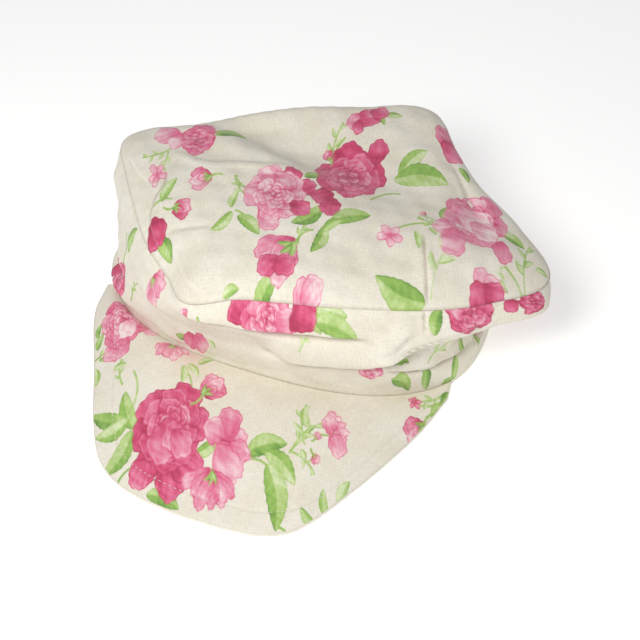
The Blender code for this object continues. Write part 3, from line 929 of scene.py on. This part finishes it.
    def blossom(self, x, y, size, turn, tone):
        """A small open flower of five loose petals round a deep middle."""
        for i in range(5):
            angle = turn + 72 * i + self.draw.uniform(-12, 12)
            self.petal(x, y, angle, size * self.draw.uniform(0.8, 1.15), size * 0.32, tone)
        hit, along, across = self.near(x, y, size * 0.3 + 1)
        self.lay(hit, size * 0.12 - np.hypot(along, across), PINKS, np.full(len(hit), 0.42))

    def lily(self, x, y, size, turn, tone):
        """A pale flower seen from its side: long petals fanning out of a green cup."""
        for lean in (64, -64, 40, -40, 14, -14):
            long = size * self.draw.uniform(0.85, 1.15)
            self.petal(x, y, turn + lean, long, size * 0.25, tone + self.draw.uniform(-0.12, 0.10), 0.08)
        for lean in (-40, 0, 40):
            cup = math.radians(turn + lean)
            self.leaf(x + 0.14 * size * math.cos(cup), y + 0.14 * size * math.sin(cup), turn + lean,
                      size * 0.40, size * 0.08, 0.34)

    def sprig(self, x, y, size, turn, tone):
        """A fine stalk with small leaves at its sides."""
        self.stem(x, y, turn, size, tone, 0.54, 0.10)
        aim = math.radians(turn)
        for share, side in ((0.28, 1), (0.45, -1), (0.64, 1), (0.82, -1)):
            lean = turn + side * 46
            tip = math.radians(lean)
            long = size * (0.36 - 0.14 * share)
            bow = 0.4 * size * share * (1 - share)
            self.leaf(x + share * size * math.cos(aim) - math.sin(aim) * bow + 0.5 * long * math.cos(tip),
                      y + share * size * math.sin(aim) + math.cos(aim) * bow + 0.5 * long * math.sin(tip),
                      lean, long, long * 0.24, tone)

    def motifs(self, rows):
        """Print the motifs of a table, in its order, placed and sized in millimetres."""
        for row in rows:
            motif = dict(zip(MOTIF_COLUMNS, row))
            x, y, size, turn, tone = (motif[name] for name in MOTIF_COLUMNS[1:6])
            if motif["kind"] == "leaf":
                self.leaf(x, y, turn, size, size * LEAF_WIDTH, tone)
            elif motif["kind"] == "petal":
                aim = math.radians(turn)
                self.petal(x - 0.5 * size * math.cos(aim), y - 0.5 * size * math.sin(aim), turn, size,
                           size * PETAL_WIDTH, tone)
            elif motif["kind"] == "stem":
                self.stem(x, y, turn, size, tone)
            elif motif["kind"] == "rose":
                self.rose(x, y, size, turn, tone, motif["stretch"])
            else:
                draw_one = {"bud": self.bud, "blossom": self.blossom, "lily": self.lily, "sprig": self.sprig}
                draw_one[motif["kind"]](x, y, size, turn, tone)


def on_cloth(rows, points, places, two_sided):
    """Move motifs from the photograph's pixels to millimetres on the cloth that shows there.

    A sheet with a hidden side, such as the wall's back, takes only the points that face the camera.
    """
    seen = in_photo(points).reshape(-1, 2)
    normal = np.cross(np.gradient(points, axis=0), np.gradient(points, axis=1))
    towards = VIEW_TARGET + view_axes()[2] * VIEW_DISTANCE - points
    away = two_sided & ((normal * towards).sum(-1) < 0)
    hidden = np.where(away.ravel(), PHOTO_SIZE, 0)
    moved = []
    for kind, right, down, size, *rest in rows:
        nearest = np.argmin(np.hypot(seen[:, 0] - right, seen[:, 1] - down) + hidden)
        moved.append((kind, *places[nearest], size * PRINT_SCALE, *rest))
    return moved


def plan_places(points):
    """Where points of the tip or the peak lie on the print, from their place on the plan."""
    turn = math.radians(VIEW_TURN)
    x = points[..., 0].ravel() / MM
    y = points[..., 1].ravel() / MM
    across = x * math.cos(turn) + y * math.sin(turn)
    return np.stack((across, (y * math.cos(turn) - x * math.sin(turn)) / PRINT_STRETCH), -1)


def wall_places(points):
    """Where points of the side wall lie on the print: round from the front, and down from the rim."""
    belly = points[int(0.45 * SIDE_DOWN)]
    steps = np.linalg.norm(np.diff(belly[:, :2], axis=0, append=belly[:1, :2]), axis=1) / MM
    front = int(SIDE_AROUND * 0.75)
    along = np.concatenate(([0], np.cumsum(np.roll(steps, -front))))
    half = 0.5 * along[-1]
    along = np.roll((along[:-1] + half) % (2 * half) - half, front)
    drops = np.linalg.norm(np.diff(points, axis=0), axis=2) / MM
    down = np.concatenate((np.zeros((1, SIDE_AROUND)), np.cumsum(drops, axis=0)))
    return np.stack((np.broadcast_to(along, down.shape).ravel(), -down.ravel() / PRINT_STRETCH), -1)


def valleys(points):
    """How far each point of a sheet lies below its surroundings, from 0 to 1 where it is deepest, for painted
    shade.
    """
    soft = points
    for _ in range(VALLEY_REACH):
        wide = np.pad(soft, ((1, 1), (1, 1), (0, 0)), mode="edge")
        soft = 0.2 * (soft + wide[2:, 1:-1] + wide[:-2, 1:-1] + wide[1:-1, 2:] + wide[1:-1, :-2])
    normal = np.cross(np.gradient(points, axis=0), np.gradient(points, axis=1))
    normal /= np.maximum(np.linalg.norm(normal, axis=-1, keepdims=True), 1e-9)
    return np.clip(((soft - points) * normal).sum(-1) / VALLEY_DEPTH, 0, 1)


def print_cloth(piece, points, places, rows, placed, deep, seed):
    """Print a sheet and keep it on the mesh: ink, depth inside the print, painted shade in valleys and seams,
    and grain.
    """
    cloth = Print(places, seed)
    cloth.motifs(on_cloth(rows, points, places, bool(placed)))
    cloth.motifs(placed)
    mesh = piece.data
    count = len(mesh.vertices)
    ink = np.tile(np.append(linear(GROUND_PALE), 1.0), (count, 1))
    ink[:len(places), :3] = cloth.ink
    cover = np.full(count, BARE)
    cover[:len(places)] = cloth.cover
    shade = np.zeros(count)
    shade[:len(places)] = deep.ravel()
    where = np.array([vertex.co for vertex in mesh.vertices]) / MM
    grain = np.zeros((count, 3))
    grain[:, :2] = where[:, :2] + where[:, 2:]
    grain[:len(places), :2] = places * (1, PRINT_STRETCH)
    mesh.attributes.new("ink", "FLOAT_COLOR", "POINT").data.foreach_set("color", ink.ravel())
    mesh.attributes.new("cover", "FLOAT", "POINT").data.foreach_set("value", cover)
    mesh.attributes.new("shade", "FLOAT", "POINT").data.foreach_set("value", shade)
    mesh.attributes.new("grain", "FLOAT_VECTOR", "POINT").data.foreach_set("vector", grain.ravel())


# Painted shade: darker in each sheet's valleys, with a painted shaded line along the peak's root and the tip's
# rim seam
root_gap = np.linalg.norm(peak_points - peak_points[:1], axis=-1)
peak_painted_shade = np.maximum(valleys(peak_points), PEAK_SEAM_SHADE * np.exp(-(root_gap / MM) ** 2))
print_cloth(side_piece, side_points, wall_places(side_points), SIDE_MOTIFS, BACK_MOTIFS,
            valleys(side_points), 5)
rim_gap = (1 - square_to_disc(TIP_ACROSS)[1]) * np.linalg.norm(tip_points[..., :2], axis=-1)
tip_painted_shade = np.maximum(valleys(tip_points), RIM_SEAM_SHADE * np.exp(-(rim_gap / MM) ** 2))
print_cloth(tip_piece, tip_points, plan_places(tip_points), TIP_MOTIFS, (), tip_painted_shade, 6)
print_cloth(peak_piece, peak_points, plan_places(peak_points), PEAK_MOTIFS, (), peak_painted_shade, 7)


class Nodes:
    """Short ways to add and join a material's nodes."""

    def __init__(self, name):
        self.material = bpy.data.materials.new(name)
        self.material.use_nodes = True
        self.tree = self.material.node_tree
        self.shader = self.tree.nodes["Principled BSDF"]

    def add(self, kind, **settings):
        node = self.tree.nodes.new("ShaderNode" + kind)
        for key, value in settings.items():
            setattr(node, key, value)
        return node

    def join(self, source, target):
        self.tree.links.new(source, target)

    def speckle(self, vector, stretch, scale, detail=2.0):
        """Noise along the cloth, drawn out along its threads."""
        mapping = self.add("Mapping")
        mapping.inputs["Scale"].default_value = stretch
        self.join(vector, mapping.inputs["Vector"])
        noise = self.add("TexNoise")
        noise.inputs["Scale"].default_value = scale
        noise.inputs["Detail"].default_value = detail
        self.join(mapping.outputs[0], noise.inputs["Vector"])
        return noise.outputs["Fac"]

    def spread(self, value, low, high, to_low, to_high):
        """Stretch a value from one range to another."""
        node = self.add("MapRange")
        for socket, number in zip(node.inputs[1:5], (low, high, to_low, to_high)):
            socket.default_value = number
        self.join(value, node.inputs[0])
        return node.outputs[0]

    def sum(self, first, second):
        node = self.add("Math", operation="ADD")
        self.join(first, node.inputs[0])
        self.join(second, node.inputs[1])
        return node.outputs[0]

    def mix(self, factor, first, second, kind="MIX"):
        """Mix two colours, each a socket or a colour given as 0 to 255."""
        node = self.add("Mix", data_type="RGBA", blend_type=kind)
        node.inputs[0].default_value = 1.0
        if factor is not None:
            self.join(factor, node.inputs[0])
        for socket, value in ((node.inputs[6], first), (node.inputs[7], second)):
            if isinstance(value, tuple):
                socket.default_value = (*linear(value), 1)
            else:
                self.join(value, socket)
        return node.outputs[2]


def cotton_material(name):
    """Unbleached cotton with its print: fine threads, slubs, faint stains, painted shade in valleys and seams,
    and a dry soft surface.
    """
    nodes = Nodes(name)
    grain = nodes.add("Attribute", attribute_name="grain").outputs["Vector"]
    ink = nodes.add("Attribute", attribute_name="ink").outputs["Color"]
    cover = nodes.add("Attribute", attribute_name="cover").outputs["Fac"]
    warp = nodes.speckle(grain, (1.0, 0.14, 1.0), 1.7)
    weft = nodes.speckle(grain, (0.14, 1.0, 1.0), 1.7)
    threads = nodes.sum(warp, weft)
    cloud = nodes.spread(nodes.speckle(grain, (1, 1, 1), 0.045, 3.0), 0.35, 0.65, 0, 1)
    stain = nodes.spread(nodes.speckle(grain, (1, 1, 1), 0.13, 4.0), 0.66, 0.82, 0, 0.35)
    ground = nodes.mix(stain, nodes.mix(cloud, GROUND_PALE, GROUND_WARM), STAIN)
    printed = nodes.mix(nodes.spread(cover, -0.22, 0.22, 0, 0.95), ground, ink)
    shade = nodes.add("CombineColor")
    for socket in shade.inputs[:3]:
        nodes.join(nodes.spread(threads, 0.75, 1.25, 0.91, 1.05), socket)
    woven = nodes.mix(None, printed, shade.outputs[0], "MULTIPLY")
    # Painted shade: the cloth is multiplied towards the shade colour where valleys and seams are deep
    painted_shade_amount = nodes.add("Attribute", attribute_name="shade").outputs["Fac"]
    shade_tint = nodes.mix(nodes.spread(painted_shade_amount, 0.05, 1, 0, 1), (255, 255, 255), VALLEY_SHADE)
    nodes.join(nodes.mix(None, woven, shade_tint, "MULTIPLY"), nodes.shader.inputs["Base Color"])
    bump = nodes.add("Bump")
    bump.inputs["Strength"].default_value = 0.4
    bump.inputs["Distance"].default_value = 0.0004
    nodes.join(threads, bump.inputs["Height"])
    nodes.join(bump.outputs[0], nodes.shader.inputs["Normal"])
    nodes.join(nodes.spread(threads, 0.75, 1.25, 0.96, 0.84), nodes.shader.inputs["Roughness"])
    nodes.shader.inputs["Sheen Weight"].default_value = 0.2
    nodes.shader.inputs["Sheen Roughness"].default_value = 0.5
    nodes.shader.inputs["Specular IOR Level"].default_value = 0.2
    return nodes.material


def thread_material():
    """White sewing thread with its twist."""
    nodes = Nodes("thread")
    where = nodes.add("TexCoord").outputs["Object"]
    twist = nodes.speckle(where, (1, 1, 1), 2400.0, 1.0)
    nodes.join(nodes.mix(twist, (244, 234, 226), (226, 212, 204)), nodes.shader.inputs["Base Color"])
    nodes.join(nodes.spread(twist, 0.3, 0.7, 0.55, 0.8), nodes.shader.inputs["Roughness"])
    bump = nodes.add("Bump")
    bump.inputs["Strength"].default_value = 0.4
    bump.inputs["Distance"].default_value = 0.0002
    nodes.join(twist, bump.inputs["Height"])
    nodes.join(bump.outputs[0], nodes.shader.inputs["Normal"])
    return nodes.material


def stitch_line():
    """Points at an even step along the topstitching, a fixed way inside the peak's edge."""
    ways = np.linspace(0.02, 0.98, 900)
    root = peak_surface(ways, 0.0)
    edge = peak_surface(ways, 1.0)
    depth = np.linalg.norm(edge - root, axis=1)
    line = peak_surface(ways, 1 - STITCH_INSET / depth)[depth > 1.3 * STITCH_INSET]
    run = np.concatenate(([0], np.cumsum(np.linalg.norm(np.diff(line, axis=0), axis=1))))
    at = np.arange(0, run[-1], STITCH_STEP)
    return np.stack([np.interp(at, run, line[:, i]) for i in range(3)], -1)


def make_stitches(centre):
    """Each stitch of the topstitching as a short rounded thread lying in the cloth."""
    line = stitch_line()
    corners = np.arange(STITCH_SIDES) * 2 * math.pi / STITCH_SIDES
    points = []
    quads = []
    lids = []
    for here, after in zip(line, line[1:]):
        aim = after - here
        aim /= np.linalg.norm(aim)
        side = np.cross((0, 0, 1), aim)
        side /= np.linalg.norm(side)
        up = np.cross(aim, side)
        first = len(points)
        for along, thick, lift in STITCH_RINGS:
            middle = here + aim * along * STITCH_LENGTH + up * lift * STITCH_THICK
            for turn in corners:
                points.append(middle + thick * STITCH_THICK * (side * math.cos(turn) + up * math.sin(turn)))
        quads.append(grid_faces(len(STITCH_RINGS), STITCH_SIDES, True, first)[:, ::-1])
        lids.append(first + np.arange(STITCH_SIDES)[::-1])
        lids.append(len(points) - STITCH_SIDES + np.arange(STITCH_SIDES))
    return make_mesh("peak_stitches", np.array(points) + centre, np.concatenate(quads), lids)


stitches = make_stitches(HEM_MIDDLE)
stitches.data.materials.append(thread_material())
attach(stitches, "root")
for piece, cad_node, slot in ((side_piece, "crown_side", "side_cotton"), (tip_piece, "crown_top", "tip_cotton"),
                              (peak_piece, "peak", "peak_cotton")):
    piece.data.materials.append(cotton_material(cad_node + "_cloth"))
    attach(piece, "root")
    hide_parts(cad_node)


def make_floor():
    bpy.ops.mesh.primitive_plane_add(size=12)
    floor = bpy.context.object
    floor.name = "floor"
    material = bpy.data.materials.new("pale_floor")
    material.use_nodes = True
    shader = material.node_tree.nodes["Principled BSDF"]
    shader.inputs["Base Color"].default_value = (0.95, 0.95, 0.95, 1)
    shader.inputs["Emission Color"].default_value = (1, 1, 1, 1)
    shader.inputs["Emission Strength"].default_value = 0.40
    shader.inputs["Roughness"].default_value = 0.9
    floor.data.materials.append(material)


def make_camera(centre):
    data = bpy.data.cameras.new("photo_view")
    data.lens = VIEW_LENS
    data.sensor_width = VIEW_SENSOR
    camera = bpy.data.objects.new("photo_view", data)
    camera.location = centre + VIEW_TARGET + view_axes()[2] * VIEW_DISTANCE
    camera.rotation_euler = (math.radians(90 - VIEW_RISE), 0, math.radians(VIEW_TURN))
    bpy.context.scene.collection.objects.link(camera)
    bpy.context.scene.camera = camera


def add_area(name, azimuth, elevation, distance, size, power, colour):
    """A round soft light that looks at the cap from an azimuth and elevation in degrees."""
    turn = math.radians(azimuth)
    rise = math.radians(elevation)
    data = bpy.data.lights.new(name, "AREA")
    data.shape = "DISK"
    data.size = size
    data.energy = power
    data.color = colour
    light = bpy.data.objects.new(name, data)
    light.location = (distance * math.sin(turn) * math.cos(rise),
                      -distance * math.cos(turn) * math.cos(rise), distance * math.sin(rise))
    light.rotation_euler = (math.radians(90) - rise, 0, turn)
    bpy.context.scene.collection.objects.link(light)


make_floor()
make_camera(HEM_MIDDLE)
add_area("key", -3, 53, 0.64, 0.26, 2.35, (1.0, 0.995, 0.98))
add_area("fill", 50, 24, 1.8, 1.2, 1.0, (0.97, 0.98, 1.0))
world = bpy.data.worlds.new("studio")
world.use_nodes = True
world.node_tree.nodes["Background"].inputs["Color"].default_value = (1, 1, 1, 1)
world.node_tree.nodes["Background"].inputs["Strength"].default_value = 0.36
bpy.context.scene.world = world
bpy.context.scene.view_settings.view_transform = "Standard"
